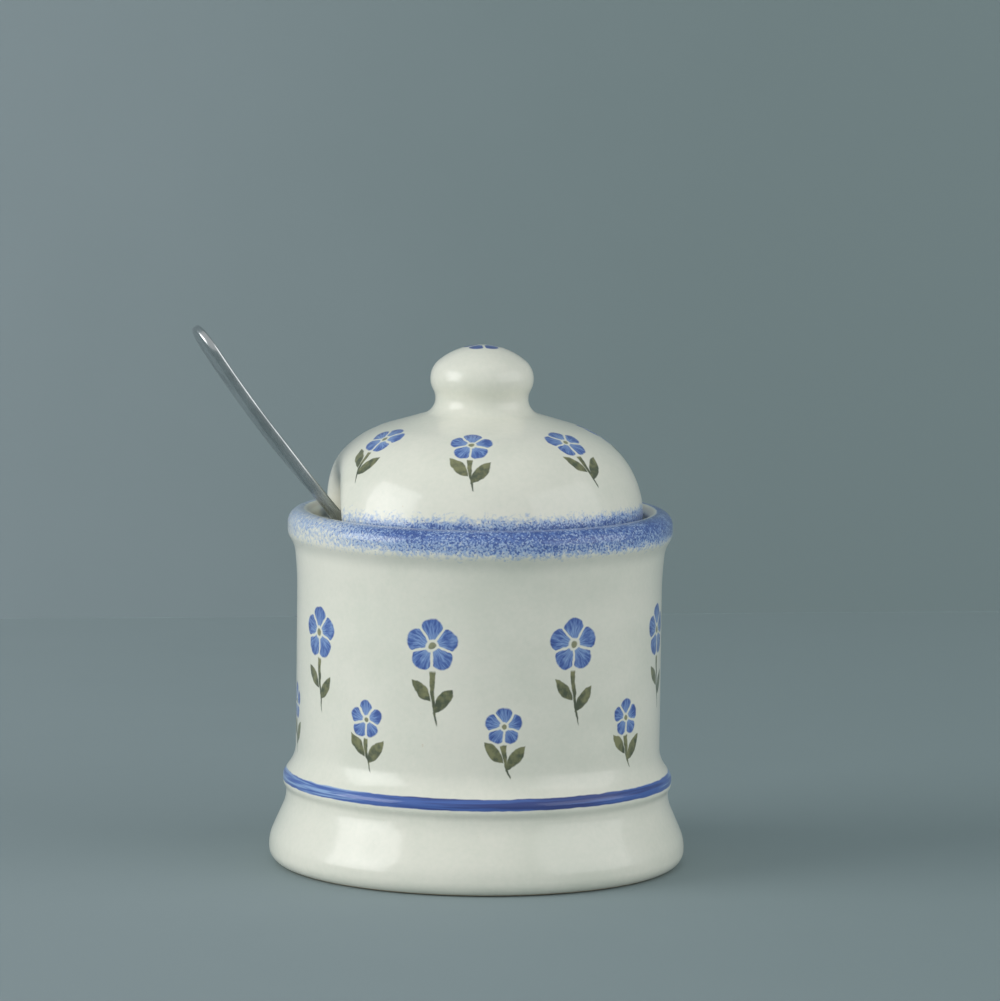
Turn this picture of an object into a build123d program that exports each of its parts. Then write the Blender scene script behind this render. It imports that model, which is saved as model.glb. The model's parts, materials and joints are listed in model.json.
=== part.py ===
from build123d import *
import os
from math import acos, asin, atan2, cos, degrees, hypot, radians, sin, sqrt

# Covered jam pot in glazed earthenware: a footed pot, a domed lid with a spoon notch, and a steel spoon.
# Millimetres, +Z up, origin in the middle of the foot. The notch and the spoon handle point to -X.

# Pot, across: radii are counted from the body
BODY_RADIUS = 42.1
WALL = 4.2
FOOT_SPREAD = 6.0
GROOVE_PROUD = 2.1
BEAD_PROUD = 2.9
THROAT_PROUD = 0.6
RIM_PROUD = 2.3
RIM_THICKNESS = 5.8
LEDGE_WIDTH = 5.6

# Pot, upwards: each height is counted from the one before it
FOOT_EDGE = 3.4
FOOT_LIP = 2.4
FLARE_HEIGHT = 8.9
GROOVE_HEIGHT = 2.5
BEAD_UNDERCUT = 1.4
BEAD_HEIGHT = 2.0
BEAD_SLOPE = 4.1
BODY_HEIGHT = 42.0
THROAT_HEIGHT = 6.9
RIM_SLOPE = 2.9
RIM_HEIGHT = 5.6

# Pot, underside and inside
FOOT_RECESS = 1.5
FOOT_RING = 5.0
BASE_THICKNESS = 4.6
GALLERY_DEPTH = 4.0
LEDGE_THICKNESS = 2.6
LEDGE_TAPER = 4.2

# Pot, rounds of the profile
FOOT_ROLL = 8.5
FLARE_ROUND = 9.0
BEAD_ROUND = 1.8
CREASE_ROUND = 1.2
THROAT_ROUND = 60.0
RIM_ROUND = 3.2
RIM_INNER_ROUND = 2.1
SEAT_ROUND = 0.4
LEDGE_ROUND = 0.9
FLOOR_ROUND = 5.0

# Lid
LID_CLEARANCE = 1.1
LID_WALL = 3.5
LID_SKIRT = 2.8
SHOULDER_RADIUS = 21.5
CONE_ANGLE = 16.6
NECK_RADIUS = 10.7
NECK_FLARE = 3.9
KNOB_OVERHANG = 1.2
KNOB_EDGE = 5.4
KNOB_RISE = 2.35
LID_EDGE_ROUND = 0.8

# Spoon notch moulded into the lid
NOTCH_RADIUS = 14.0
NOTCH_CLEARANCE = 4.5
NOTCH_LIP = 2.5

# Spoon: a stamped bowl and a handle bent along one arc
SPOON_GAP = 0.3
BOWL_FRONT = 26.0
BOWL_BACK = 18.0
BOWL_WIDTH = 29.0
BOWL_DEPTH = 7.0
BOWL_WALL = 1.5
BOWL_TIP_INSET = 11.5
HANDLE_LENGTH = 106.9
HANDLE_BEND = 330.0
HANDLE_SET = 14.6
HANDLE_END_WIDTH = 13.0
HANDLE_NECK_WIDTH = 5.6
NECK_THICKNESS = 2.4
MIDDLE_THICKNESS = 2.7
END_THICKNESS = 1.7
NECK_DROP = 2.0
NECK_ROOT = 10.0
ROOT_REACH = 6.0
ROOT_WIDTH = 12.0
STEEL_EDGE = 0.4

# Places worked out from the sizes above
foot_radius = BODY_RADIUS + FOOT_SPREAD
groove_radius = BODY_RADIUS + GROOVE_PROUD
bead_radius = BODY_RADIUS + BEAD_PROUD
throat_radius = BODY_RADIUS + THROAT_PROUD
rim_radius = BODY_RADIUS + RIM_PROUD
gallery_radius = rim_radius - RIM_THICKNESS
ledge_radius = gallery_radius - LEDGE_WIDTH
inner_radius = BODY_RADIUS - WALL
ring_inside = foot_radius - FOOT_EDGE - FOOT_RING
floor_radius = foot_radius - FOOT_EDGE - WALL / 2

flare_foot_z = FOOT_EDGE + FOOT_LIP
groove_z = flare_foot_z + FLARE_HEIGHT
bead_crease_z = groove_z + GROOVE_HEIGHT
bead_low_z = bead_crease_z + BEAD_UNDERCUT
bead_top_z = bead_low_z + BEAD_HEIGHT
body_z = bead_top_z + BEAD_SLOPE
throat_z = body_z + BODY_HEIGHT
rim_crease_z = throat_z + THROAT_HEIGHT
rim_low_z = rim_crease_z + RIM_SLOPE
rim_z = rim_low_z + RIM_HEIGHT
seat_z = rim_z - GALLERY_DEPTH
floor_z = FOOT_RECESS + BASE_THICKNESS

lid_radius = gallery_radius - LID_CLEARANCE


def revolved(outline, rounds):
    """Face between an outline of (radius, height) corners and the axis, with a round at each corner."""
    with BuildSketch(Plane.XZ) as section:
        with BuildLine():
            FilletPolyline(*outline, radius=rounds)
            Line(outline[-1], outline[0])
        make_face()
    return section.sketch


# Pot: one turned profile, from under the base, up the outside and down the inside
pot_corners = [
    ((ring_inside - FOOT_RECESS, FOOT_RECESS), CREASE_ROUND),
    ((ring_inside, 0), LEDGE_ROUND),
    ((foot_radius, 0), FOOT_EDGE),
    ((foot_radius, flare_foot_z), FOOT_ROLL),
    ((groove_radius, groove_z), FLARE_ROUND),
    ((groove_radius, bead_crease_z), CREASE_ROUND),
    ((bead_radius, bead_low_z), BEAD_ROUND),
    ((bead_radius, bead_top_z), BEAD_ROUND),
    ((BODY_RADIUS, body_z), CREASE_ROUND),
    ((BODY_RADIUS, throat_z), THROAT_ROUND),
    ((throat_radius, rim_crease_z), CREASE_ROUND),
    ((rim_radius, rim_low_z), RIM_ROUND),
    ((rim_radius, rim_z), RIM_ROUND),
    ((gallery_radius, rim_z), RIM_INNER_ROUND),
    ((gallery_radius, seat_z), SEAT_ROUND),
    ((ledge_radius, seat_z), LEDGE_ROUND),
    ((ledge_radius, seat_z - LEDGE_THICKNESS), CREASE_ROUND),
    ((inner_radius, seat_z - LEDGE_THICKNESS - LEDGE_TAPER), FLOOR_ROUND),
    ((inner_radius, body_z), FLARE_ROUND),
    ((floor_radius, floor_z), FLOOR_ROUND),
]
pot_outline = [(0, FOOT_RECESS)] + [corner for corner, _ in pot_corners] + [(0, floor_z)]

with BuildPart() as pot:
    add(revolved(pot_outline, [corner_round for _, corner_round in pot_corners]))
    revolve(axis=Axis.Z)

# Spoon: its own plane has the bowl's tip at the origin, x towards the handle, y to the bowl's back
bowl_length = BOWL_FRONT + BOWL_BACK
bend_angle = radians(HANDLE_SET)
handle_start = bowl_length - NECK_DROP
bend_centre = Vector(handle_start + HANDLE_BEND * sin(bend_angle), HANDLE_BEND * cos(bend_angle))


def on_handle(length, height):
    """Point on the handle, so far along its lower face from the bowl and so high above it."""
    turn = length / HANDLE_BEND - bend_angle
    reach = HANDLE_BEND - height
    return bend_centre + Vector(reach * sin(turn), -reach * cos(turn))


# The spoon stands with its tip on the floor. The handle's two edges lean on the ledge's rounded lip
tip = Vector(inner_radius - BOWL_TIP_INSET, 0, floor_z + SPOON_GAP)
lean_half = (HANDLE_NECK_WIDTH + HANDLE_END_WIDTH) / 4
lean_offset = (LEDGE_ROUND + SPOON_GAP) * sqrt(0.5)
lip_chord = sqrt((ledge_radius + LEDGE_ROUND) ** 2 - lean_half**2)
lip = Vector(lean_offset - lip_chord, 0, seat_z - LEDGE_ROUND + lean_offset)
span = (lip - tip).length
centre_reach = hypot(bend_centre.X, bend_centre.Y)
lip_angle = atan2(bend_centre.Y, bend_centre.X) - acos(
    (centre_reach**2 + span**2 - HANDLE_BEND**2) / (2 * centre_reach * span)
)
lean = atan2(lip.Z - tip.Z, tip.X - lip.X) - lip_angle
spoon_plane = Plane(origin=tip, x_dir=(-cos(lean), 0, sin(lean)), z_dir=(0, 1, 0))
handle_lean = lean + asin((span * cos(lip_angle) - bend_centre.X) / HANDLE_BEND)

rim_plane = Plane(origin=tip, x_dir=spoon_plane.x_dir, z_dir=spoon_plane.y_dir)


def arc_radius(half_chord, rise):
    """Radius of the arc that rises so far over half its chord."""
    return (half_chord**2 + rise**2) / (2 * rise)


front_radius = arc_radius(BOWL_FRONT, BOWL_DEPTH)
back_radius = arc_radius(BOWL_BACK, BOWL_DEPTH)
bowl_sink = arc_radius(BOWL_WIDTH / 2, BOWL_DEPTH) - BOWL_DEPTH
bowl_axis = Axis(spoon_plane.from_local_coords((0, -bowl_sink)), spoon_plane.x_dir)


def bowl_profile(inset):
    """Egg-shaped profile over the bowl's turning axis, drawn in by a wall."""
    front_angle = degrees(acos((front_radius - BOWL_DEPTH) / (front_radius - inset)))
    back_angle = degrees(acos((back_radius - BOWL_DEPTH) / (back_radius - inset)))
    with BuildSketch(spoon_plane) as profile:
        with BuildLine():
            front_centre = (BOWL_FRONT, BOWL_DEPTH - front_radius)
            back_centre = (BOWL_FRONT, BOWL_DEPTH - back_radius)
            front = CenterArc(front_centre, front_radius - inset, 90, front_angle)
            back = CenterArc(back_centre, back_radius - inset, 90 - back_angle, back_angle)
            front_end = front @ 1
            back_end = back @ 0
            Polyline(front_end, (front_end.X, -bowl_sink), (back_end.X, -bowl_sink), back_end)
        make_face()
    return profile.sketch


# The hollow also trims the handle's root out of the bowl
with BuildPart() as bowl_hollow:
    add(bowl_profile(BOWL_WALL))
    revolve(axis=bowl_axis)

with BuildPart() as bowl:
    add(bowl_profile(0))
    revolve(axis=bowl_axis)
    split(bisect_by=rim_plane, keep=Keep.TOP)
    add(bowl_hollow.part, mode=Mode.SUBTRACT)

handle_end = on_handle(HANDLE_LENGTH, 0).X
end_half = HANDLE_END_WIDTH / 2
neck_half = HANDLE_NECK_WIDTH / 2
root_half = ROOT_WIDTH / 2
slim_x = bowl_length + ROOT_REACH

# Each side of the handle is one arc, tangent to the slim neck and to the round end
end_centre = Vector(handle_end - end_half, 0)
side_run = end_centre.X - slim_x
side_radius = (side_run**2 + neck_half**2 - end_half**2) / (2 * (end_half - neck_half))
side_centre = Vector(slim_x, neck_half + side_radius)
end_meet = end_centre + (side_centre - end_centre).normalized() * end_half

with BuildPart() as spoon:
    # Side view of the handle: two arcs that close up towards its end and run into the bowl
    with BuildSketch(spoon_plane):
        with BuildLine():
            half_way = HANDLE_LENGTH / 2
            past_end = HANDLE_LENGTH + END_THICKNESS
            under = ThreePointArc(on_handle(-NECK_ROOT, 0), on_handle(half_way, 0), on_handle(past_end, 0))
            over = ThreePointArc(
                on_handle(past_end, END_THICKNESS),
                on_handle(half_way, MIDDLE_THICKNESS),
                on_handle(-NECK_ROOT, NECK_THICKNESS),
            )
            Line(under @ 1, over @ 0)
            Line(over @ 1, under @ 0)
        make_face()
    extrude(amount=HANDLE_END_WIDTH, both=True)
    # Plan view: a root that spreads over the bowl, a slim neck, and a round end
    with BuildSketch(rim_plane):
        with BuildLine():
            root_x = handle_start - NECK_ROOT
            root = TangentArc((slim_x, -neck_half), (root_x, -root_half), tangent=(-1, 0))
            side = TangentArc(root @ 0, (end_meet.X, -end_meet.Y), tangent=(1, 0))
            ThreePointArc(side @ 1, (handle_end, 0), end_meet)
            mirror(about=Plane.XZ)
            Line((root_x, -root_half), (root_x, root_half))
        make_face()
    extrude(amount=HANDLE_LENGTH, both=True, mode=Mode.INTERSECT)
    long_edges = spoon.edges().filter_by(lambda e: e.length > NECK_ROOT)
    fillet(long_edges.filter_by(GeomType.LINE, reverse=True), radius=STEEL_EDGE)
    add(bowl_hollow.part, mode=Mode.SUBTRACT)
    add(bowl.part)

# Lid: shoulder, cone, neck, knob edge and crown meet tangentially, so their centres follow from each other
cone = radians(CONE_ANGLE)
cone_normal = Vector(sin(cone), cos(cone))
knob_radius = NECK_RADIUS + KNOB_OVERHANG
shoulder_centre = Vector(lid_radius - SHOULDER_RADIUS, seat_z + LID_SKIRT)
shoulder_top = shoulder_centre + cone_normal * SHOULDER_RADIUS
neck_x = NECK_RADIUS + NECK_FLARE
neck_z = shoulder_top.Y + (NECK_FLARE - (neck_x - shoulder_top.X) * sin(cone)) / cos(cone)
neck_centre = Vector(neck_x, neck_z)
knob_x = knob_radius - KNOB_EDGE
knob_centre = Vector(knob_x, neck_z + sqrt((NECK_FLARE + KNOB_EDGE) ** 2 - (neck_x - knob_x) ** 2))
knob_crown = KNOB_EDGE + KNOB_RISE
crown_radius = (knob_radius**2 + knob_crown**2 - 2 * knob_radius * KNOB_EDGE) / (2 * KNOB_RISE)
crown_centre = Vector(0, knob_centre.Y + knob_crown - crown_radius)


def lid_section(inset):
    """Half section of the lid's outside, drawn in by a wall."""
    with BuildSketch(Plane.XZ) as section:
        with BuildLine():
            to_knob = (knob_centre - neck_centre).normalized()
            to_edge = (knob_centre - crown_centre).normalized()
            skirt = Line((lid_radius - inset, seat_z), (lid_radius - inset, shoulder_centre.Y))
            shoulder_end = shoulder_centre + cone_normal * (SHOULDER_RADIUS - inset)
            shoulder = TangentArc(skirt @ 1, shoulder_end, tangent=skirt % 1)
            slope = Line(shoulder @ 1, neck_centre - cone_normal * (NECK_FLARE + inset))
            neck_end = neck_centre + to_knob * (NECK_FLARE + inset)
            neck = TangentArc(slope @ 1, neck_end, tangent=slope % 1)
            edge = TangentArc(neck @ 1, knob_centre + to_edge * (KNOB_EDGE - inset), tangent=neck % 1)
            top = crown_centre + Vector(0, crown_radius - inset)
            crown = TangentArc(edge @ 1, top, tangent=edge % 1)
            Polyline(crown @ 1, (0, seat_z), skirt @ 0)
        make_face()
    return section.sketch


# The notch is a flute along the spoon's handle, clear of its upper face
off_handle = Vector(sin(handle_lean), 0, cos(handle_lean))
notch_plane = Plane(
    origin=lip + off_handle * (MIDDLE_THICKNESS + NOTCH_CLEARANCE - NOTCH_RADIUS),
    x_dir=off_handle,
    z_dir=(-cos(handle_lean), 0, sin(handle_lean)),
)

with BuildPart() as lid_hollow:
    add(lid_section(LID_WALL))
    revolve(axis=Axis.Z)
    with BuildSketch(notch_plane):
        Circle(NOTCH_RADIUS + LID_WALL)
    extrude(amount=SHOULDER_RADIUS * 2, both=True, mode=Mode.SUBTRACT)

with BuildPart() as lid:
    add(lid_section(0))
    revolve(axis=Axis.Z)
    with BuildSketch(notch_plane):
        Circle(NOTCH_RADIUS)
    extrude(amount=SHOULDER_RADIUS * 2, both=True, mode=Mode.SUBTRACT)
    notch_edges = lid.edges(Select.LAST).filter_by(lambda e: e.bounding_box().max.Z > seat_z + LID_SKIRT)
    fillet(notch_edges, radius=NOTCH_LIP)
    add(lid_hollow.part, mode=Mode.SUBTRACT)
    seat_edges = lid.edges().filter_by_position(Axis.Z, seat_z, seat_z)
    fillet(seat_edges, radius=LID_EDGE_ROUND)

os.makedirs("parts", exist_ok=True)
for name, piece in (("pot", pot.part), ("lid", lid.part), ("spoon", spoon.part)):
    piece.label = name
    export_step(piece, f"parts/{name}.step")
    print(name, round(piece.volume / 1000, 1), "cm3", piece.bounding_box())

print("handle leans", round(degrees(handle_lean), 2), "degrees at the ledge")
print("centre of the handle's bend", spoon_plane.from_local_coords(bend_centre))
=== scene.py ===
# %% [markdown]
# # A covered jam pot, from clay to glaze
#
# The pot, its lid and its spoon are already exact solids in the frame. Here they get their looks: smooth
# turned surfaces, a cream glaze over sponged and brushed cobalt, painted sprigs, and satin steel.
# Run the cells from top to bottom. The ware is measured in millimetres until it becomes vertices, the stage
# and its lamps in metres.

# %% Load the frame
import json
from math import acos, atan2, cos, degrees, hypot, pi, radians, sin, sqrt

import bmesh
import bpy
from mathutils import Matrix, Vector


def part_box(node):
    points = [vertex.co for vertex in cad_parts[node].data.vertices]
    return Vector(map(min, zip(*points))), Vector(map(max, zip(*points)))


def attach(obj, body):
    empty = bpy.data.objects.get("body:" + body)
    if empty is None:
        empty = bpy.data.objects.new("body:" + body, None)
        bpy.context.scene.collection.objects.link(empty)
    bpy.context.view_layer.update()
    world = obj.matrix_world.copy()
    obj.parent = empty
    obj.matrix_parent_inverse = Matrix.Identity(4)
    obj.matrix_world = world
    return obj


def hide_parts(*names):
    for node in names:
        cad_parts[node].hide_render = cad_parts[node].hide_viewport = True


MM = 0.001
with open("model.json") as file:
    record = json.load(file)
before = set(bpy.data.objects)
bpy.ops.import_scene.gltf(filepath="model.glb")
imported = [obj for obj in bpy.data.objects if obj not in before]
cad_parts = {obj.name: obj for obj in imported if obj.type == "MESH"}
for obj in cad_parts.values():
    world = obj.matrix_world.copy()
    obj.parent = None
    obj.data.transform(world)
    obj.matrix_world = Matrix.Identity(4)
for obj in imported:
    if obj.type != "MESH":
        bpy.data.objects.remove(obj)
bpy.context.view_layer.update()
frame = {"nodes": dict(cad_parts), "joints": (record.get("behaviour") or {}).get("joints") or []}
print("nodes in the frame:", sorted(frame["nodes"]))

# %% [markdown]
# ## Outlines
#
# A potter's profile is a row of corners that the sponge has softened. It could be drawn point by point, but
# then nobody could change it. So each corner is written once, with the radius of its round, and a helper
# walks along the outline, puts an arc at every corner and keeps the steps between points short. Short steps
# matter for gloss: a long face beside a small round would share its normals and look swollen.

# %% Walk round corners and along arcs
RUN_STEP = 2.0
TURN_STEP = radians(6)
FINE_STEP = radians(2)


def arc(centre, radius, start, turn, step=TURN_STEP):
    """Points on an arc from an angle through a turn, in radians, without its first point."""
    steps = max(2, round(abs(turn) / step))
    angles = [start + turn * i / steps for i in range(1, steps + 1)]
    return [centre + Vector((cos(a), sin(a))) * radius for a in angles]


def run_to(points, end):
    """Adds a straight run in short steps."""
    start = points[-1]
    steps = max(1, round((end - start).length / RUN_STEP))
    points.extend(start.lerp(end, i / steps) for i in range(1, steps + 1))


def rounded(start, corners, end):
    """Outline from start to end with a round at each (corner, radius)."""
    points = [Vector(start)]
    spots = [Vector(start)] + [Vector(spot) for spot, _ in corners] + [Vector(end)]
    for before, spot, after, (_, radius) in zip(spots, spots[1:], spots[2:], corners):
        to_before = (before - spot).normalized()
        to_after = (after - spot).normalized()
        half = acos(max(-1, min(1, to_before.dot(to_after)))) / 2
        centre = spot + (to_before + to_after).normalized() * radius / sin(half)
        first = spot + to_before * radius * cos(half) / sin(half)
        run_to(points, first)
        lead = first - centre
        side = 1 if lead.x * to_before.y - lead.y * to_before.x < 0 else -1
        points.extend(arc(centre, radius, atan2(lead.y, lead.x), side * (pi - 2 * half)))
    run_to(points, spots[-1])
    return points


# %% [markdown]
# ## Turning an outline
#
# Pot and lid are round, so the outline is spun about the axis, as on a wheel. The spin leaves a fan of
# doubled points where the outline touches the axis. They are merged, and the normals are made to point
# outwards. Each vertex also remembers how far along the outline it lies, so that paint can follow the dome.

# %% Spin an outline into a mesh
MERGE_DISTANCE = 0.01 * MM


def spun(name, outline, segments):
    """Closed body of revolution about Z, with the distance along the outline kept in "along"."""
    shape = bmesh.new()
    along = shape.verts.layers.float.new("along")
    length = 0.0
    ring = []
    for i, point in enumerate(outline):
        length += (point - outline[i - 1]).length if i else 0.0
        vert = shape.verts.new((point.x * MM, 0, point.y * MM))
        vert[along] = length
        ring.append(vert)
    edges = [shape.edges.new(pair) for pair in zip(ring, ring[1:])]
    bmesh.ops.spin(
        shape,
        geom=ring + edges,
        cent=(0, 0, 0),
        axis=(0, 0, 1),
        angle=2 * pi,
        steps=segments,
        use_merge=True,
    )
    bmesh.ops.remove_doubles(shape, verts=shape.verts, dist=MERGE_DISTANCE)
    bmesh.ops.recalc_face_normals(shape, faces=shape.faces)
    return shape, finished(name, shape)


def finished(name, shape):
    """Makes a smooth-shaded object of a bmesh that stays open for more shaping."""
    piece = bpy.data.objects.new(name, bpy.data.meshes.new(name))
    bpy.context.scene.collection.objects.link(piece)
    store(piece, shape)
    return piece


def store(piece, shape):
    """Writes the bmesh to the object and shades it smooth."""
    for face in shape.faces:
        face.smooth = True
    shape.to_mesh(piece.data)
    piece.data.update()


# %% [markdown]
# ## The pot
#
# The real pot is cast in one piece: a spreading foot, a bead that carries the painted stripe, a straight
# body, a thick rim, and inside it a ledge for the lid. One outline says it all, from under the base, up
# the outside, over the rim and down the inside to the floor. Its main radius and height come from the frame.

# %% Sizes of the pot
WALL = 4.2
FOOT_SPREAD = 6.0
FOOT_EDGE = 3.4
FOOT_LIP = 2.4
FOOT_RING = 5.0
FOOT_RECESS = 1.5
BASE_THICKNESS = 4.6
FLARE_HEIGHT = 8.9
GROOVE_PROUD = 2.1
GROOVE_HEIGHT = 2.5
BEAD_PROUD = 2.9
BEAD_UNDERCUT = 1.4
BEAD_HEIGHT = 2.0
BEAD_SLOPE = 4.1
BODY_HEIGHT = 42.0
THROAT_PROUD = 0.6
THROAT_HEIGHT = 6.9
RIM_PROUD = 2.3
RIM_SLOPE = 2.9
RIM_THICKNESS = 5.8
GALLERY_DEPTH = 4.0
LEDGE_WIDTH = 5.6
LEDGE_THICKNESS = 2.6
LEDGE_TAPER = 4.2

foot_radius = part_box("pot")[1].x / MM
body_radius = foot_radius - FOOT_SPREAD
groove_radius = body_radius + GROOVE_PROUD
bead_radius = body_radius + BEAD_PROUD
throat_radius = body_radius + THROAT_PROUD
rim_radius = body_radius + RIM_PROUD
gallery_radius = rim_radius - RIM_THICKNESS
ledge_radius = gallery_radius - LEDGE_WIDTH
inner_radius = body_radius - WALL
ring_inside = foot_radius - FOOT_EDGE - FOOT_RING
floor_radius = foot_radius - FOOT_EDGE - WALL / 2

flare_foot_z = FOOT_EDGE + FOOT_LIP
groove_z = flare_foot_z + FLARE_HEIGHT
bead_crease_z = groove_z + GROOVE_HEIGHT
bead_low_z = bead_crease_z + BEAD_UNDERCUT
bead_top_z = bead_low_z + BEAD_HEIGHT
body_z = bead_top_z + BEAD_SLOPE
throat_z = body_z + BODY_HEIGHT
rim_crease_z = throat_z + THROAT_HEIGHT
rim_low_z = rim_crease_z + RIM_SLOPE
rim_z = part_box("pot")[1].z / MM
seat_z = rim_z - GALLERY_DEPTH
ledge_low_z = seat_z - LEDGE_THICKNESS
floor_z = FOOT_RECESS + BASE_THICKNESS
print("pot is", round(2 * foot_radius, 1), "mm across its foot and", round(rim_z, 1), "mm high")

# %% Turn the pot
POT_SEGMENTS = 160
FOOT_ROLL = 8.5
FLARE_ROUND = 9.0
GROOVE_ROUND = 2.2
BEAD_ROUND = 1.8
BODY_ROUND = 8.0
THROAT_ROUND = 60.0
RIM_CREASE_ROUND = 7.0
RIM_ROUND = 3.2
RIM_INNER_ROUND = 2.1
SEAT_ROUND = 0.4
LEDGE_ROUND = 0.9
HIDDEN_ROUND = 1.2
FLOOR_ROUND = 5.0

pot_corners = [
    ((ring_inside - FOOT_RECESS, FOOT_RECESS), HIDDEN_ROUND),
    ((ring_inside, 0), LEDGE_ROUND),
    ((foot_radius, 0), FOOT_EDGE),
    ((foot_radius, flare_foot_z), FOOT_ROLL),
    ((groove_radius, groove_z), FLARE_ROUND),
    ((groove_radius, bead_crease_z), GROOVE_ROUND),
    ((bead_radius, bead_low_z), BEAD_ROUND),
    ((bead_radius, bead_top_z), BEAD_ROUND),
    ((body_radius, body_z), BODY_ROUND),
    ((body_radius, throat_z), THROAT_ROUND),
    ((throat_radius, rim_crease_z), RIM_CREASE_ROUND),
    ((rim_radius, rim_low_z), RIM_ROUND),
    ((rim_radius, rim_z), RIM_ROUND),
    ((gallery_radius, rim_z), RIM_INNER_ROUND),
    ((gallery_radius, seat_z), SEAT_ROUND),
    ((ledge_radius, seat_z), LEDGE_ROUND),
    ((ledge_radius, ledge_low_z), HIDDEN_ROUND),
    ((inner_radius, ledge_low_z - LEDGE_TAPER), FLOOR_ROUND),
    ((inner_radius, body_z), FLARE_ROUND),
    ((floor_radius, floor_z), FLOOR_ROUND),
]
pot_outline = rounded((0, FOOT_RECESS), pot_corners, (0, floor_z))
pot_shape, pot = spun("glazed_pot", pot_outline, POT_SEGMENTS)
pot_shape.free()
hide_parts("pot")
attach(pot, "pot")
print("pot outline has", len(pot_outline), "points; mesh has", len(pot.data.polygons), "faces")

# %% [markdown]
# ## The lid
#
# The lid's outside is a chain of arcs that meet without a kink: skirt, shoulder, slope, neck, knob, crown.
# Each arc's centre follows from the one before, and the inside is the same chain drawn in by the wall.
# The spoon notch is not cut out but pressed in, as in the mould: every point that would stand inside a
# round flute along the spoon's handle moves towards the axis until it lies on it. A soft maximum of two
# distances rounds the lip. The frame says where the handle's bend has its centre, and the flute starts
# from there.

# %% Lay out the lid's chain of arcs
LID_SEGMENTS = 260
LID_WALL = 3.5
LID_SKIRT = 2.8
SHOULDER_RADIUS = 21.5
CONE_ANGLE = radians(16.6)
NECK_RADIUS = 10.7
NECK_FLARE = 3.9
KNOB_OVERHANG = 1.2
KNOB_EDGE = 5.4
KNOB_RISE = 2.35
LID_EDGE_ROUND = 0.8

lid_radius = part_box("lid")[1].x / MM
lid_low_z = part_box("lid")[0].z / MM
cone_normal = Vector((sin(CONE_ANGLE), cos(CONE_ANGLE)))
shoulder_centre = Vector((lid_radius - SHOULDER_RADIUS, lid_low_z + LID_SKIRT))
shoulder_top = shoulder_centre + cone_normal * SHOULDER_RADIUS
neck_x = NECK_RADIUS + NECK_FLARE
neck_z = shoulder_top.y + (NECK_FLARE - (neck_x - shoulder_top.x) * sin(CONE_ANGLE)) / cos(CONE_ANGLE)
neck_centre = Vector((neck_x, neck_z))
knob_radius = NECK_RADIUS + KNOB_OVERHANG
knob_x = knob_radius - KNOB_EDGE
knob_centre = Vector((knob_x, neck_z + sqrt((NECK_FLARE + KNOB_EDGE) ** 2 - (neck_x - knob_x) ** 2)))
knob_crown = KNOB_EDGE + KNOB_RISE
crown_radius = (knob_radius**2 + knob_crown**2 - 2 * knob_radius * KNOB_EDGE) / (2 * KNOB_RISE)
crown_centre = Vector((0, knob_centre.y + knob_crown - crown_radius))


def bearing(from_point, to_point):
    """Angle of the way from one point to another."""
    way = to_point - from_point
    return atan2(way.y, way.x)


def lid_chain(inset):
    """The lid's outside from the seat to the crown, drawn in by a wall."""
    neck_turn = bearing(neck_centre, knob_centre)
    edge_turn = bearing(crown_centre, knob_centre)
    points = [Vector((lid_radius - inset, lid_low_z))]
    run_to(points, Vector((lid_radius - inset, shoulder_centre.y)))
    points += arc(shoulder_centre, SHOULDER_RADIUS - inset, 0, pi / 2 - CONE_ANGLE, FINE_STEP)
    run_to(points, neck_centre - cone_normal * (NECK_FLARE + inset))
    slope_turn = -pi / 2 - CONE_ANGLE
    points += arc(neck_centre, NECK_FLARE + inset, slope_turn, neck_turn - 2 * pi - slope_turn)
    points += arc(knob_centre, KNOB_EDGE - inset, neck_turn - pi, edge_turn + pi - neck_turn)
    points += arc(crown_centre, crown_radius - inset, edge_turn, pi / 2 - edge_turn)
    return points


outside = lid_chain(0)
inside = lid_chain(LID_WALL)
crown_z = outside[-1].y
lid_outline = rounded(
    inside[1],
    [((inside[0].x, lid_low_z), LID_EDGE_ROUND), ((lid_radius, lid_low_z), LID_EDGE_ROUND)],
    outside[1],
)
lid_outline = inside[:1:-1] + lid_outline + outside[2:]
lid_shape, lid = spun("glazed_lid", lid_outline, LID_SEGMENTS)
print("lid outline has", len(lid_outline), "points; the knob's crown is at", round(crown_z, 1), "mm")

# %% Press the spoon notch into the lid
HANDLE_BEND = 330.0
HANDLE_LEAN = radians(50.35)
MIDDLE_GAUGE = 2.7
NOTCH_RADIUS = 14.0
NOTCH_CLEARANCE = 4.5
NOTCH_LIP = 6.0
DEEPEST = 16.0
HALVINGS = 16
CROWDING = 0.6
NOTCH_SPREAD = pi / 3

bend_spot = next(Vector(j["pos_m"]) / MM for j in frame["joints"] if j["name"] == "spoon_draw")
off_handle = Vector((sin(HANDLE_LEAN), 0, cos(HANDLE_LEAN)))
flute_spot = bend_spot - off_handle * (HANDLE_BEND - MIDDLE_GAUGE - NOTCH_CLEARANCE + NOTCH_RADIUS)
flute_way = Vector((-cos(HANDLE_LEAN), 0, sin(HANDLE_LEAN)))
along = lid_shape.verts.layers.float["along"]
seat_along = sum((b - a).length for a, b in zip(inside[:0:-1], inside[-2::-1]))


def soft_max(a, b, width):
    """The larger of two lengths, rounded where they meet."""
    near = max(width - abs(a - b), 0) / width
    return max(a, b) + near * near * width / 4


def pressed_reach(ray, height, reach, radius):
    """How far from the axis a level ray leaves the clay once the flute is pressed into it."""
    low, high = reach - DEEPEST, reach
    for _ in range(HALVINGS):
        middle = (low + high) / 2
        off = ray * middle + Vector((0, 0, height)) - flute_spot
        dent = radius - (off - flute_way * off.dot(flute_way)).length
        if soft_max(middle - reach, dent, NOTCH_LIP) > 0:
            high = middle
        else:
            low = middle
    return high


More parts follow.
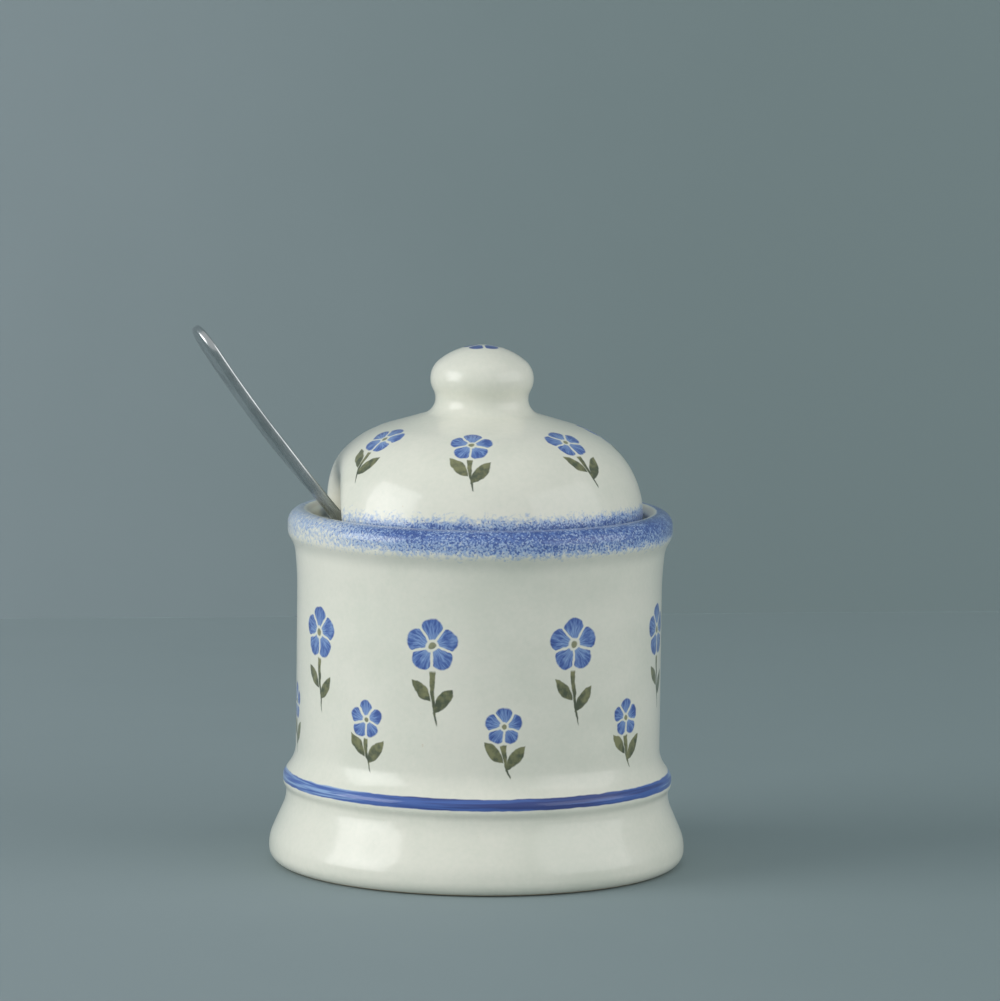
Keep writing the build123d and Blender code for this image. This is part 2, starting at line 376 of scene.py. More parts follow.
for vert in lid_shape.verts:
    reach = hypot(vert.co.x, vert.co.y) / MM
    height = vert.co.z / MM
    turn = atan2(-vert.co.y, -vert.co.x)
    turn -= CROWDING * sin(turn)
    ray = Vector((-cos(turn), -sin(turn), 0))
    if abs(turn) < NOTCH_SPREAD and height < neck_z:
        wall = max(0.0, min(1.0, 0.5 - (vert[along] - seat_along) / LID_WALL))
        reach = pressed_reach(ray, height, reach, NOTCH_RADIUS + LID_WALL * wall)
    vert.co = (ray * reach + Vector((0, 0, height))) * MM
bmesh.ops.recalc_face_normals(lid_shape, faces=lid_shape.faces)
store(lid, lid_shape)
lid_shape.free()
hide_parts("lid")
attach(lid, "lid")
print("notch pressed", NOTCH_CLEARANCE, "mm clear of the handle")

# %% [markdown]
# ## The spoon
#
# A stamped spoon starts as a flat blank, so it starts here as a flat block of two grids. One function gives
# the blank's half width at each place along it. Two more say how high its back and its front stand over the
# rim's plane: an egg-shaped bowl, a root that runs out on the bowl's back, and a handle bent along one arc.
# Past the ledge the handle leans out a little more and is turned a little, as it lies in the photograph.

# %% Sizes of the blank
BOWL_FRONT = 26.0
BOWL_BACK = 18.0
BOWL_WIDTH = 29.0
BOWL_DEPTH = 7.0
BOWL_GAUGE = 1.5
RIM_BLUNT = 0.35
TIP_INSET = 11.5
TIP_GAP = 0.3
HANDLE_LENGTH = 108.5
HANDLE_SET = radians(14.6)
NECK_DROP = 2.0
END_HALF = 6.5
SLIM_HALF = 2.8
ROOT_HALF = 6.0
ROOT_REACH = 6.0
ROOT_START = 32.0
NECK_GAUGE = 2.4
END_GAUGE = 1.7
STEEL_EDGE = 0.5
BLEND = 2.0
ROOT_FADE = 0.35
FREE_X = 100.0
FREE_KNEE = 16.0
FREE_TURN = 0.041
TWIST_X = 96.0
TWIST_RUN = 22.0
TWIST = 0.1


def arc_radius(half_chord, rise):
    """Radius of the arc that rises so far over half its chord."""
    return (half_chord**2 + rise**2) / (2 * rise)


bowl_length = BOWL_FRONT + BOWL_BACK
bowl_sink = arc_radius(BOWL_WIDTH / 2, BOWL_DEPTH) - BOWL_DEPTH
handle_start = bowl_length - NECK_DROP
slim_x = bowl_length + ROOT_REACH
bend_x = handle_start + HANDLE_BEND * sin(HANDLE_SET)
bend_height = HANDLE_BEND * cos(HANDLE_SET)
blank_end = bend_x + HANDLE_BEND * sin(HANDLE_LENGTH / HANDLE_BEND - HANDLE_SET)
end_x = blank_end - END_HALF
side_run = end_x - slim_x
side_radius = (side_run**2 + SLIM_HALF**2 - END_HALF**2) / (2 * (END_HALF - SLIM_HALF))
meet_x = end_x + (slim_x - end_x) * END_HALF / (side_radius + END_HALF)
root_radius = arc_radius(slim_x - ROOT_START, ROOT_HALF - SLIM_HALF)
print("blank is", round(blank_end, 1), "mm long and", round(2 * END_HALF, 1), "mm wide at its end")


# %% Bowl and widths along the blank
def bowl_skin(x, y, inset):
    """Height of the bowl's skin over the rim's plane, drawn in by a wall."""
    radius = arc_radius(BOWL_FRONT if x < BOWL_FRONT else BOWL_BACK, BOWL_DEPTH)
    rise = sqrt(max((radius - inset) ** 2 - (x - BOWL_FRONT) ** 2, 0)) - radius + BOWL_DEPTH
    return sqrt(max((rise + bowl_sink) ** 2 - y * y, 0)) - bowl_sink


def handle_half(x):
    """Half width of the handle: root, slim neck, widening side and round end."""
    if x < slim_x:
        return SLIM_HALF + root_radius - sqrt(root_radius**2 - (slim_x - x) ** 2)
    if x < meet_x:
        return SLIM_HALF + side_radius - sqrt(side_radius**2 - (x - slim_x) ** 2)
    return sqrt(max(0, END_HALF**2 - (x - end_x) ** 2))


def blank_half(x):
    """Half width of the whole blank."""
    in_bowl = 0.0
    if x < bowl_length:
        in_bowl = sqrt(max(0, (bowl_skin(x, 0, 0) + bowl_sink) ** 2 - bowl_sink**2))
    return soft_max(in_bowl, handle_half(x), BLEND) if x > ROOT_START else in_bowl


# %% Heights of the blank's two faces
def handle_face(x):
    """Height of the handle's lower face: one arc, which leans out more once it is free of the pot."""
    leaned = FREE_TURN * soft_max(0, x - FREE_X, FREE_KNEE)
    return bend_height - sqrt(HANDLE_BEND**2 - (bend_x - x) ** 2) - leaned


def twist(x):
    """Rise across the handle, which is turned a little where it is free of the pot."""
    share = max(0.0, min(1.0, (x - TWIST_X) / TWIST_RUN))
    return -TWIST * share * share * (3 - 2 * share)


def gauge(x):
    """Thickness of the steel along the handle."""
    share = (x - handle_start) / (blank_end - handle_start)
    if share < 0.5:
        return NECK_GAUGE + (MIDDLE_GAUGE - NECK_GAUGE) * max(0, share) * 2
    return MIDDLE_GAUGE + (END_GAUGE - MIDDLE_GAUGE) * (share - 0.5) * 2


def back_height(x, y):
    """Height of the spoon's back: the bowl's outside and the handle's upper face."""
    skin = soft_max(bowl_skin(x, y, 0), RIM_BLUNT, RIM_BLUNT) if x < bowl_length else -HANDLE_BEND
    if x < ROOT_START:
        return skin
    beside = max(0, abs(y) - handle_half(x))
    return soft_max(skin, handle_face(x) + gauge(x) - beside**2 * ROOT_FADE, BLEND)


def front_height(x, y):
    """Height of the spoon's front: the hollow of the bowl, its flat rim and the handle's lower face."""
    if x > bowl_length:
        return handle_face(x)
    hollow = soft_max(bowl_skin(x, y, BOWL_GAUGE), 0.0, STEEL_EDGE)
    return min(hollow, handle_face(x)) if x > handle_start else hollow


def worn(x, y, thickness):
    """How far the round of the edge takes a face back at a place."""
    edge = min(STEEL_EDGE, thickness / 3)
    from_side = END_HALF - hypot(x - end_x, y) if x > end_x else blank_half(x) - abs(y)
    share = max(0.0, min(1.0, 1 - from_side / edge))
    return edge * (1 - sqrt(1 - share * share))


# %% Shape the blank and set it in its place
BLANK_LENGTH_STEPS = 170
BLANK_WIDTH_STEPS = 20

tip = Vector((inner_radius - TIP_INSET, 0, floor_z + TIP_GAP))
lean = atan2(bend_spot.z - tip.z, tip.x - bend_spot.x) - atan2(bend_height, bend_x)
up_handle = Vector((-cos(lean), 0, sin(lean)))
to_back = Vector((sin(lean), 0, cos(lean)))

blank = bmesh.new()
for level in (0, 1):
    grid = bmesh.ops.create_grid(blank, x_segments=BLANK_LENGTH_STEPS, y_segments=BLANK_WIDTH_STEPS, size=1)
    bmesh.ops.translate(blank, verts=grid["verts"], vec=(0, 0, level))
bmesh.ops.bridge_loops(blank, edges=[edge for edge in blank.edges if edge.is_boundary])
for vert in blank.verts:
    x = blank_end * (1 - cos(pi * (vert.co.x + 1) / 2)) / 2
    y = blank_half(x) * sin(pi * vert.co.y / 2)
    back = back_height(x, y)
    front = front_height(x, y)
    edge_round = worn(x, y, back - front)
    height = back - edge_round if vert.co.z > 0.5 else front + edge_round
    vert.co = (tip + up_handle * x + to_back * (height + twist(x) * y) + Vector((0, y, 0))) * MM
bmesh.ops.remove_doubles(blank, verts=blank.verts, dist=MERGE_DISTANCE)
bmesh.ops.recalc_face_normals(blank, faces=blank.faces)
spoon = finished("steel_spoon", blank)
blank.free()
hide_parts("spoon")
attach(spoon, "spoon")
print("the spoon leans", round(degrees(lean), 1), "degrees and is", round(blank_end), "mm long")

# %% [markdown]
# ## Writing shaders as sums
#
# A painted glaze needs a lot of arithmetic: distances, angles, soft edges. Wiring dozens of Math nodes by
# hand hides the idea, so one small class wraps a socket and lets Python's operators add the nodes. Any other
# node comes from one method, which takes its type, its settings and the values of its sockets.

# %% A socket that can be used in a sum
class Wire:
    """One output socket. Each operator adds a Math node to its tree."""

    def __init__(self, tree, socket):
        self.tree = tree
        self.socket = socket

    def node(self, kind, inputs, output=0, **settings):
        """Adds any node: its settings first, then the values or links of its sockets."""
        made = self.tree.nodes.new(kind)
        for name, value in settings.items():
            setattr(made, name, value)
        for name, value in inputs.items():
            if isinstance(value, Wire):
                self.tree.links.new(value.socket, made.inputs[name])
            else:
                made.inputs[name].default_value = value
        return Wire(self.tree, made.outputs[output])

    def math(self, operation, *others):
        return self.node("ShaderNodeMath", dict(enumerate((self, *others))), operation=operation)

    def __add__(self, other):
        return self.math("ADD", other)

    def __sub__(self, other):
        return self.math("SUBTRACT", other)

    def __mul__(self, other):
        return self.math("MULTIPLY", other)

    def __truediv__(self, other):
        return self.math("DIVIDE", other)

    def __pow__(self, other):
        return self.math("POWER", other)

    def __abs__(self):
        return self.math("ABSOLUTE")

    __radd__ = __add__
    __rmul__ = __mul__

    def __rsub__(self, other):
        return self.node("ShaderNodeMath", {0: other, 1: self}, operation="SUBTRACT")

    def soft(self, low, high):
        """0 below low, 1 above high, and an S-curve between."""
        span = {"Value": self, "From Min": low, "From Max": high}
        return self.node("ShaderNodeMapRange", span, interpolation_type="SMOOTHSTEP")

    def noise(self, scale, detail=2.0, stretch=(1, 1, 1)):
        """Noise over a place in millimetres, with features about 1 / scale wide."""
        place = self.node("ShaderNodeVectorMath", {0: self, 1: stretch}, operation="MULTIPLY")
        spec = {"Vector": place, "Scale": scale, "Detail": detail}
        return self.node("ShaderNodeTexNoise", spec)

    def mixed(self, first, second):
        """Colour between two, with this value as the share of the second."""
        return self.node("ShaderNodeMix", {0: self, 6: first, 7: second}, output=2, data_type="RGBA")

    def parts(self):
        """The three numbers of a vector."""
        split = self.node("ShaderNodeSeparateXYZ", {0: self})
        return [Wire(self.tree, socket) for socket in split.socket.node.outputs]

    def joined(self, second, third):
        """A vector of three numbers."""
        return self.node("ShaderNodeCombineXYZ", {0: self, 1: second, 2: third})


def new_material(name):
    """A material with only its output left, and the object's own place in millimetres."""
    material = bpy.data.materials.new(name)
    material.use_nodes = True
    tree = material.node_tree
    for node in list(tree.nodes):
        if node.type != "OUTPUT_MATERIAL":
            tree.nodes.remove(node)
    coordinates = tree.nodes.new("ShaderNodeTexCoord")
    start = Wire(tree, coordinates.outputs["Object"])
    place = start.node("ShaderNodeVectorMath", {0: start, "Scale": 1 / MM}, operation="SCALE")
    return material, place


def shaded(material, place, constants, varying):
    """Closes a material with a Principled shader: constants on its sockets, varying inputs as links."""
    shader = place.node("ShaderNodeBsdfPrincipled", {**constants, **varying})
    output = next(n for n in material.node_tree.nodes if n.type == "OUTPUT_MATERIAL")
    material.node_tree.links.new(shader.socket, output.inputs["Surface"])
    return material


# %% [markdown]
# ## Colours of the ware
#
# The glaze is a warm white over a pale clay. The paint is cobalt, which goes from a thin sky-blue wash to a
# deep ultramarine where brush or sponge left more of it, with an olive green for the stems. Colours are
# written as they look on a screen and turned into the linear numbers that the shader wants.

# %% Mix the palette
def ink(red, green, blue):
    """Linear colour from screen values of 0 to 255."""
    shares = [value / 255 for value in (red, green, blue)]
    linear = [s / 12.92 if s <= 0.04045 else ((s + 0.055) / 1.055) ** 2.4 for s in shares]
    return (*linear, 1.0)


CREAM = ink(241, 239, 225)
CREAM_THIN = ink(226, 219, 203)
CREAM_CLOUD = ink(230, 231, 216)
CLAY = ink(214, 196, 166)
COBALT_WASH = ink(142, 174, 220)
COBALT = ink(52, 94, 174)
COBALT_DEEP = ink(20, 54, 132)
OLIVE = ink(128, 129, 86)
GREEN_DEEP = ink(58, 71, 47)

# %% [markdown]
# ## Sponge, brush and sprig
#
# Sponging leaves specks: many where the sponge pressed hard and few at its ragged edge. A noise is cut off
# at a level that follows how much paint lies there. A stripe is one turn of a full brush, so its streaks run
# round the pot. A sprig is a flower of round petals with a stem and leaves, drawn by distance and angle.

# %% Paint techniques
HEAVY_SIDE = 0.85
WASH_STRENGTH = 0.82
GRAIN_STRENGTH = 0.75
DARK_STRENGTH = 0.55
HAND_WOBBLE = 1.1
LEFT_LEAF = (radians(42), 7.0, 1.5)
RIGHT_LEAF = (radians(38), 7.5, 1.6)


def over(under, layers):
    """Lays (mask, colour) layers over a colour, first to last."""
    for mask, colour in layers:
        under = mask.mixed(under, colour)
    return under


def sponged(place, cover):
    """Layers of a sponge's haze and grains, for a cover from 0 to 1."""
    load = cover + (place.noise(0.16, 2.0) - 0.5) * cover * 0.5
    haze = (load + (place.noise(1.4, 2.0) - 0.5) * 1.8).soft(0.15, 1.0)
    grains = (place.noise(2.2, 2.0) + load * 0.44 - 0.83).soft(0.0, 0.18)
    dark = (place.noise(1.2, 2.0) + load * 0.42 - 0.9).soft(0.0, 0.16) * grains
    touched = cover.soft(0.02, 0.12)
    masks = (haze * WASH_STRENGTH, grains * GRAIN_STRENGTH, dark * DARK_STRENGTH)
    blues = (COBALT_WASH, COBALT, COBALT_DEEP)
    return [(mask * touched, blue) for mask, blue in zip(masks, blues)]


def heavier(angle, place, crest):
    """How hard the sponge was pressed: most on one side and on the crest, with a slow drift."""
    side = ((angle + HEAVY_SIDE).math("COSINE") + crest * 0.4).soft(-0.2, 0.6)
    drift = (place.noise(0.03, 1.0, (1, 1, 0)) - 0.5) * 0.3
    return 0.57 + side * 0.43 + crest * 0.3 + drift


def petals(across, up, place, radius):
    """Mask and tone of a flower of five round petals with fine bare lines between them."""
    out = (across * across + up * up) ** 0.5
    turn = across.math("ARCTAN2", up)
    lobe = abs((turn * 2.5).math("COSINE"))
    reach = radius * (lobe**0.45 * 0.36 + 0.64)
    edge = (reach - out).soft(0.0, 0.45)
    gap = (out * lobe).soft(0.35, 1.0)
    eye = out.soft(radius * 0.2, radius * 0.27)
    mask = edge * gap * eye
    streak = (turn * 9.0).joined(out * 0.45, 0.0).noise(1.0, 2.0)
    tone = streak * 0.9 + (out / radius) * 0.35 - 0.35 + place.noise(0.5, 1.0) * 0.2
    seed = out.soft(radius * 0.16, radius * 0.1)
    return mask, tone, seed


def leaf(across, up, angle, length, width):
    """Mask of a pointed leaf that leaves the stem at an angle."""
    tip_way = across * sin(angle) + up * cos(angle)
    side_way = across * cos(angle) - up * sin(angle)
    share = (tip_way / length).math("MAXIMUM", 0.0).math("MINIMUM", 1.0)
    belly = share * (1 - share) * 4 * width
    return (belly - abs(side_way)).soft(0.0, 0.35)


def sprig(across, up, place, radius, stem_length):
    """Layers of a painted sprig: stem, two leaves and a flower."""
    across = across + (place.noise(0.35, 2.0) - 0.5) * HAND_WOBBLE
    up = up + (place.noise(0.4, 2.0, (1, 1, 0.7)) - 0.5) * HAND_WOBBLE
    below = up + radius * 0.9
    share = (below / -stem_length).math("MAXIMUM", 0.0)
    bow = share * share * 1.6
    width = 0.85 - share * 0.6
    stem = (width - abs(across - bow)).soft(0.0, 0.3) * share.soft(0.0, 0.05) * share.soft(1.0, 0.92)
    left = leaf(0 - across, below + stem_length * 0.55, *LEFT_LEAF)
    right = leaf(across - 0.4, below + stem_length * 0.75, *RIGHT_LEAF)
    green = stem.math("MAXIMUM", left).math("MAXIMUM", right)
    green_tone = (place.noise(0.6, 2.0) + share * 0.35).soft(0.4, 0.85)
    mask, tone, seed = petals(across, up, place, radius)
    blue = tone.soft(0.1, 0.62).mixed(COBALT_WASH, COBALT)
    blue = tone.soft(0.45, 0.85).mixed(blue, COBALT_DEEP)
    olive = green_tone.mixed(OLIVE, GREEN_DEEP)
    return [(green * 0.94, olive), (mask * 0.95, blue), (seed * 0.85, olive)]


def repeated(angle, count):
    """Angle from the middle of each of the equal shares of a turn."""
    cell = (angle * (count / (2 * pi))).math("FRACT")
    return (cell - 0.5) * (2 * pi / count)


# %% [markdown]
# ## Glaze
#
# Under studio light the glaze is a clear coat over a soft white body: sharp reflections, but gently wavy
# ones, because a glaze never melts quite flat and turning leaves faint rings under it. It runs thin over
# edges and is a little cloudy elsewhere. Both pieces share one function; only the paint under it differs.
# The foot ring is wiped bare before firing.

# %% Glaze over paint
def glazed(name, paint):
    """Glaze with paint layers under it. paint takes the place, its parts, radius and angle."""
    material, place = new_material(name)
    x, y, z = place.parts()
    radius = (x * x + y * y) ** 0.5
    angle = y.math("ARCTAN2", x)
    cloud = place.noise(0.06, 3.0)
    mottle = place.noise(0.9, 2.0)
    ware = (cloud * 0.7 + mottle * 0.3).soft(0.3, 0.75).mixed(CREAM, CREAM_CLOUD)
    speck = place.noise(0.8, 1.0).soft(0.80, 0.84)
    layers, thin, bare = paint(place, x, y, z, radius, angle)
    ware = thin.mixed(ware, CREAM_THIN)
    colour = over(ware, [*layers, (speck * 0.3, CLAY), (bare, CLAY)])
    turned = place.noise(0.13, 0.0, (0.3, 0.3, 1.3)) * 0.7
    swell = place.noise(0.09, 2.0) + turned + place.noise(0.5, 2.0) * 0.05
    grain = bare * place.noise(3.0, 3.0) * 0.3
    relief = place.node("ShaderNodeBump", {"Height": swell + grain, "Strength": 0.6, "Distance": 0.5 * MM})
    varying = {
        "Base Color": colour,
        "Roughness": 0.26 + mottle * 0.08 + bare * 0.5,
        "Coat Weight": (1 - bare) * 0.6,
        "Normal": relief,
    }
    constants = {"Specular IOR Level": 0.2, "Coat Roughness": 0.1, "Coat IOR": 1.5}
    return shaded(material, place, constants, varying)


# %% [markdown]
# ## Paint on the pot
#
# A sponged band covers the rim from its crest down to the crease, and a brushed stripe runs round the bead
# above the foot. Upright sprigs stand evenly round the body, with a small floret between each pair.

# %% Band and stripe of the pot
BAND_HEIGHT = 6.7
CREST_BARE = 1.6
CREST_HEIGHT = 4.0
STRIPE_WIDTH = 2.8
STRIPE_LIFT = 0.9
STRIPE_SWINGS = 2
SWING_START = 2.7

band_low = rim_z - BAND_HEIGHT
crest_inside = gallery_radius + CREST_BARE
stripe_z = (bead_low_z + bead_top_z) / 2 + STRIPE_LIFT


def rim_band(place, z, radius, angle):
    """Sponge layers from the rim's crest down to a ragged edge."""
    ragged = place.noise(0.55, 3.0) - 0.5
    on_rim = radius.soft(crest_inside, crest_inside + 0.8)
    pressed = heavier(angle, place, z.soft(rim_z - CREST_HEIGHT, rim_z - 1.0) * 0.5)
    cover = (z + ragged * 2.2).soft(band_low - 0.8, band_low + 3.0) * on_rim * pressed
    return sponged(place, cover)


def bead_stripe(place, z, radius, angle):
    """Mask and colour of the stripe: streaks run round it, and its tone is deeper front and back, paler left
    and right.
    """
    wobble = place.noise(0.035, 1.0) - 0.5
    off_middle = z - stripe_z - wobble * 0.4
    ragged = (place.noise(0.3, 1.0) - 0.5) * 0.4
    outer = radius.soft(body_radius + 0.4, body_radius + 0.9)
    mask = (STRIPE_WIDTH / 2 - abs(off_middle) + ragged).soft(0.0, 0.25) * outer
    # The tone swings twice round the stripe: deeper facing front and back, paler at the left and right
    # sides.
    swing = (angle * STRIPE_SWINGS + SWING_START).math("COSINE") * 0.16
    streaks = (angle * 1.6).joined(off_middle * 1.1, 0.0).noise(1.0, 3.0) + swing
    brushed = streaks.soft(0.3, 0.44).mixed(COBALT_WASH, COBALT)
    brushed = streaks.soft(0.5, 0.68).mixed(brushed, COBALT_DEEP)
    return mask * 0.95, brushed


# %% Paint the pot
SPRIG_COUNT = 8
SPRIG_HEIGHT = 56.0
SPRIG_FLOWER = 6.3
SPRIG_STEM = 13.0
FLORET_HEIGHT = 38.0
FLORET_FLOWER = 4.6
FLORET_STEM = 8.0
THIN_EDGE = 0.9


def pot_paint(place, x, y, z, radius, angle):
    """Sprigs, florets, stripe and sponged rim; thin glaze inside the crest; a bare foot ring."""
    outside_wall = radius.soft(inner_radius + 1.5, inner_radius + 2.0)
    across = repeated(angle, SPRIG_COUNT) * body_radius
    sprigs = sprig(across, z - SPRIG_HEIGHT, place, SPRIG_FLOWER, SPRIG_STEM)
    between = repeated(angle + pi / SPRIG_COUNT, SPRIG_COUNT) * body_radius
    florets = sprig(between, z - FLORET_HEIGHT, place, FLORET_FLOWER, FLORET_STEM)
    layers = [(mask * outside_wall, colour) for mask, colour in sprigs + florets]
    layers += [bead_stripe(place, z, radius, angle), *rim_band(place, z, radius, angle)]
    off_edge = abs(radius - (gallery_radius + THIN_EDGE))
    thin = off_edge.soft(THIN_EDGE, 0.2) * z.soft(rim_z - 1.4, rim_z - 0.5) * 0.8
    ring = radius.soft(ring_inside - 0.6, ring_inside) * z.soft(0.55, 0.25)
    return layers, thin, ring


pot.data.materials.append(glazed("cream_glaze_pot", pot_paint))
print("pot painted with", SPRIG_COUNT, "sprigs")

# %% [markdown]
# ## Paint on the lid
#
# The lid's lower edge is sponged like the rim. Florets lie round the dome, each with its stem towards the
# rim, and follow the dome through the "along" attribute rather than a flat projection. A last one sits on
# the knob.

# %% Paint the lid
LID_BAND_TOP = 86.2
LID_BAND_FADE = 4.4
NOTCH_BARE = 0.4
LID_FLORETS = 7
LID_FLORET_ALONG = 25.0
LID_FLOWER = 5.2
LID_STEM = 9.0
CROWN_FLOWER = 4.6
CROWN_DEPTH = 4.0

outer_start = seat_along + LID_WALL


def lid_band(place, z, radius, angle):
    """Sponge layers round the lid's lower edge, but not in the notch."""
    ragged = place.noise(0.5, 3.0) - 0.5
    low = (z + ragged * 2.6).soft(LID_BAND_TOP, LID_BAND_TOP - LID_BAND_FADE)
    beside_notch = abs(angle).soft(pi - NOTCH_BARE + 0.04, pi - NOTCH_BARE - 0.04)
    outer = radius.soft(lid_radius - 3.0, lid_radius - 2.4) * beside_notch
    pressed = heavier(angle, place, z.soft(LID_BAND_TOP, LID_BAND_TOP - 6.0) * 0.4)
    return sponged(place, low * outer * pressed)


def lid_paint(place, x, y, z, radius, angle):
    """A ring of florets, one on the knob and a sponged edge; thin glaze on the seat's edge; nothing bare."""
    far = place.node("ShaderNodeAttribute", {}, output="Fac", attribute_name="along")
    up = far - (outer_start + LID_FLORET_ALONG)
    across = repeated(angle + pi / LID_FLORETS, LID_FLORETS) * radius
    on_top = far.soft(outer_start - 1.0, outer_start)
    ring = sprig(across, up, place, LID_FLOWER, LID_STEM)
    crown, tone, _ = petals(x, y, place, CROWN_FLOWER)
    crown_blue = tone.soft(0.1, 0.8).mixed(COBALT, COBALT_DEEP)
    above = z.soft(crown_z - CROWN_DEPTH, crown_z - CROWN_DEPTH + 0.4)
    layers = [(mask * on_top, colour) for mask, colour in ring]
    layers += [(crown * above * 0.95, crown_blue), *lid_band(place, z, radius, angle)]
    thin = z.soft(lid_low_z + 0.9, lid_low_z + 0.3) * 0.7
    return layers, thin, z * 0.0


lid.data.materials.append(glazed("cream_glaze_lid", lid_paint))
print("lid painted with", LID_FLORETS, "florets")

# %% [markdown]
# ## Steel
#
# Table steel is polished along its length, so its fine scratches follow the handle's arc, and handling
# leaves faint cloudy patches. A noise stretched along the arc gives both the roughness and a hair of relief.

# %% Satin steel for the spoon
STEEL = ink(198, 201, 201)
STEEL_DULL = ink(162, 167, 168)

steel, place = new_material("satin_steel")
x, y, z = place.parts()
from_bend = (x - bend_spot.x, z - bend_spot.z)
out = (from_bend[0] ** 2 + from_bend[1] ** 2) ** 0.5
along_bend = from_bend[1].math("ARCTAN2", from_bend[0]) * HANDLE_BEND
scratches = along_bend.joined(y, out).noise(1.0, 4.0, (0.05, 9.0, 9.0))
clouds = place.noise(0.12, 3.0)
shine = scratches * 0.22 + clouds * 0.14 + 0.08
relief = place.node("ShaderNodeBump", {"Height": scratches, "Strength": 0.12, "Distance": 0.05 * MM})
steel_colour = clouds.soft(0.3, 0.8).mixed(STEEL, STEEL_DULL)
shaded(steel, place, {"Metallic": 1.0}, {"Base Color": steel_colour, "Roughness": shine, "Normal": relief})
spoon.data.materials.append(steel)
print("steel ready")

# %% [markdown]
# ## Stage
#
# The pot stands on a plain matt table in front of a plain wall of the same soft grey. Both carry painted
# shade that makes them a little darker to the right. Floor and wall are a single bent sheet, and each part
# has its own pair of greys, because the light falls on them differently. The sheet has a front only: from
# behind or below it is clear, so that the pot can be looked at from any side.

# %% Floor and backdrop
STAGE_WIDTH = 6.0
FLOOR_FRONT = -3.0
WALL_AT = 0.41
WALL_HEIGHT = 3.0
COVE = 0.0001
COVE_STEPS = 12

sweep = bmesh.new()
turns = [pi / 2 * i / COVE_STEPS for i in range(COVE_STEPS + 1)]
cove = [Vector((WALL_AT - COVE, COVE)) + Vector((sin(a), -cos(a))) * COVE for a in turns]
profile = [Vector((FLOOR_FRONT, 0)), *cove, Vector((WALL_AT, WALL_HEIGHT))]
row = [sweep.verts.new((-STAGE_WIDTH / 2, p.x, p.y)) for p in profile]
row_edges = [sweep.edges.new(pair) for pair in zip(row, row[1:])]
pulled = bmesh.ops.extrude_edge_only(sweep, edges=row_edges)["geom"]
far_row = [part for part in pulled if isinstance(part, bmesh.types.BMVert)]
bmesh.ops.translate(sweep, verts=far_row, vec=(STAGE_WIDTH, 0, 0))
sweep.normal_update()
floor_face = min(sweep.faces, key=lambda face: face.calc_center_median().y)
if floor_face.normal.z < 0:
    bmesh.ops.reverse_faces(sweep, faces=sweep.faces)
backdrop = finished("studio_sweep", sweep)
sweep.free()
print("backdrop stands", WALL_AT, "m behind the pot")

# %% Grey paper with a front only and painted shade
# Each pair is a grey and a darker painted shade, which is mixed in towards the right.
FLOOR_GREY = ink(152, 165, 168)
FLOOR_PAINTED_SHADE = ink(141, 156, 158)
WALL_GREY = ink(154, 166, 170)
WALL_PAINTED_SHADE = ink(135, 150, 151)
SHADE_FROM = -150.0
SHADE_TO = 190.0
SHADE_WANDER = 60.0

paper, spot = new_material("grey_paper")
sideways, _, upwards = spot.parts()
fibre = spot.noise(0.02, 3.0)
# Painted shade: the share of the darker grey grows from left to right and wanders with the fibre.
painted_shade = (sideways + fibre * SHADE_WANDER).soft(SHADE_FROM, SHADE_TO)
floor_tint = painted_shade.mixed(FLOOR_GREY, FLOOR_PAINTED_SHADE)
wall_tint = painted_shade.mixed(WALL_GREY, WALL_PAINTED_SHADE)
tint = upwards.soft(0, COVE / MM).mixed(floor_tint, wall_tint)
shaded(paper, spot, {"Specular IOR Level": 0.1}, {"Base Color": tint, "Roughness": 0.75 + fibre * 0.1})
surface = next(n for n in paper.node_tree.nodes if n.type == "OUTPUT_MATERIAL").inputs["Surface"]
front = Wire(paper.node_tree, surface.links[0].from_socket)
back = spot.node("ShaderNodeNewGeometry", {}, output="Backfacing")
clear = spot.node("ShaderNodeBsdfTransparent", {})
one_sided = spot.node("ShaderNodeMixShader", {0: back, 1: front, 2: clear})
paper.node_tree.links.new(one_sided.socket, surface)
backdrop.data.materials.append(paper)
print("paper ready")

# %% [markdown]
# ## Light
#
# The photograph has soft light from the left and plenty of fill, so the right side is only a step darker.
# A wide sheet of light gives the fall from left to right, a smaller lamp the soft highlights on knob,
# shoulder and foot, a third lifts the right edge, and an even, slightly cool sky does the rest.

# %% Softbox and fill
LAMP_AIM = Vector((0, 0, 0.06))
SKY_TINT = (0.93, 0.98, 1.0, 1.0)
SKY_STRENGTH = 0.58


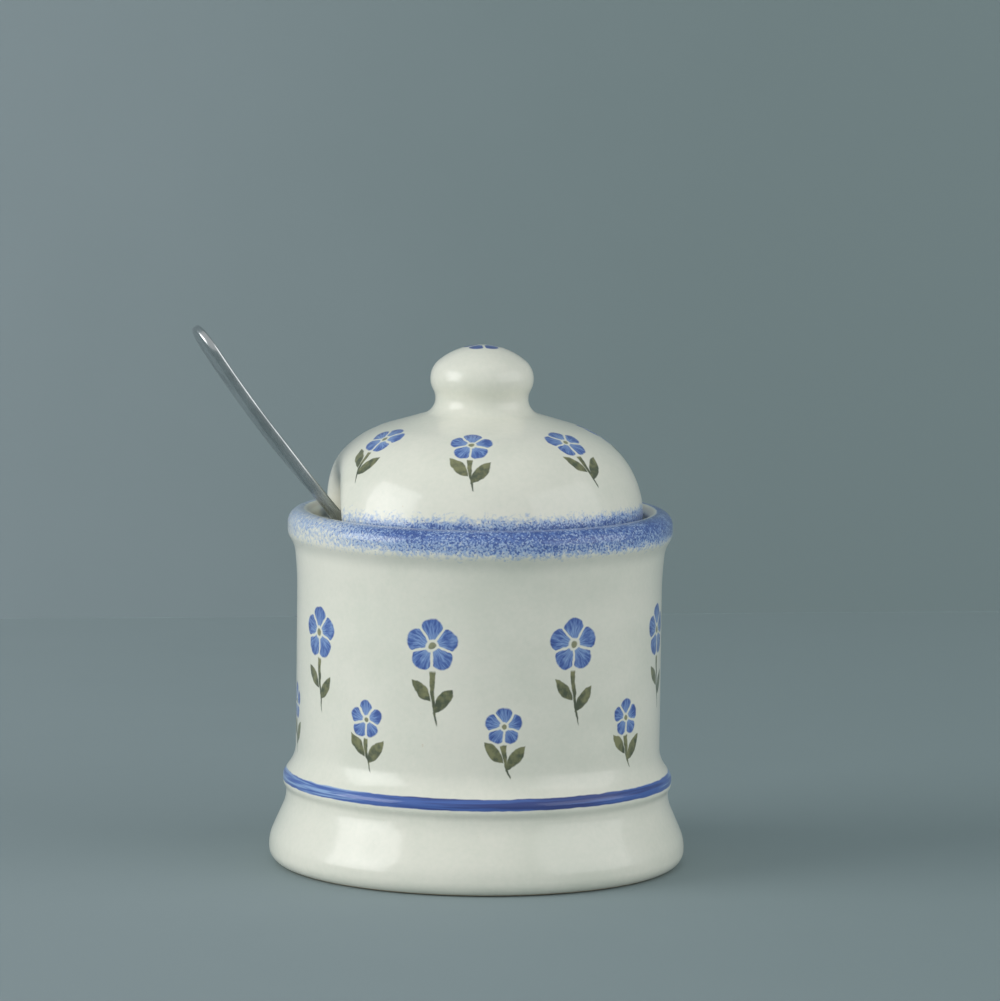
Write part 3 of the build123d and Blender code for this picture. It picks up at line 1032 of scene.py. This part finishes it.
def softbox(name, spot, size, power):
    """Square area lamp that faces the pot."""
    lamp = bpy.data.lights.new(name, "AREA")
    lamp.shape = "SQUARE"
    lamp.size = size
    lamp.energy = power
    holder = bpy.data.objects.new(name, lamp)
    holder.location = spot
    holder.rotation_euler = (LAMP_AIM - Vector(spot)).to_track_quat("-Z", "Y").to_euler()
    bpy.context.scene.collection.objects.link(holder)
    print(name, "gives", power, "W")


softbox("key_left", (-2.5, -0.6, 0.8), size=0.9, power=3.0)
softbox("wide_left", (-2.6, -0.35, 0.7), size=2.4, power=58.0)
softbox("fill_right", (2.6, -1.5, 0.7), size=3.2, power=38.0)

world = bpy.data.worlds.new("even_fill")
bpy.context.scene.world = world
world.use_nodes = True
sky = world.node_tree.nodes["Background"]
sky.inputs["Color"].default_value = SKY_TINT
sky.inputs["Strength"].default_value = SKY_STRENGTH
bpy.context.scene.view_settings.view_transform = "Standard"

# %% [markdown]
# ## Camera
#
# The photograph was taken from a little above and far away with a long lens: the ellipses of rim and foot
# are flat and nearly alike. The spoon's side of the pot is turned a few degrees towards the camera.

# %% Place the camera
VIEW_DISTANCE = 1300.0
VIEW_HEIGHT = 237.5
VIEW_TURN = radians(8)
AIM_HEIGHT = 84.14
AIM_RIGHT = 4.47
VIEW_ROLL = 0.0125
PIXELS_PER_MM = 4.367
IMAGE_HEIGHT = 1001
SENSOR = 36.0

camera = bpy.data.objects.new("camera", bpy.data.cameras.new("camera"))
bpy.context.scene.collection.objects.link(camera)
to_right = Vector((cos(VIEW_TURN), -sin(VIEW_TURN), 0))
camera_spot = Vector((-VIEW_DISTANCE * sin(VIEW_TURN), -VIEW_DISTANCE * cos(VIEW_TURN), VIEW_HEIGHT))
aim_spot = to_right * AIM_RIGHT + Vector((0, 0, AIM_HEIGHT))
camera.location = camera_spot * MM
gaze = (aim_spot - camera_spot).to_track_quat("-Z", "Y").to_euler()
gaze.rotate_axis("Z", VIEW_ROLL)
camera.rotation_euler = gaze
camera.data.sensor_width = SENSOR
camera.data.lens = PIXELS_PER_MM * VIEW_DISTANCE * SENSOR / IMAGE_HEIGHT
camera.data.clip_end = 20.0
bpy.context.scene.camera = camera
print("lens of", round(camera.data.lens, 1), "mm")
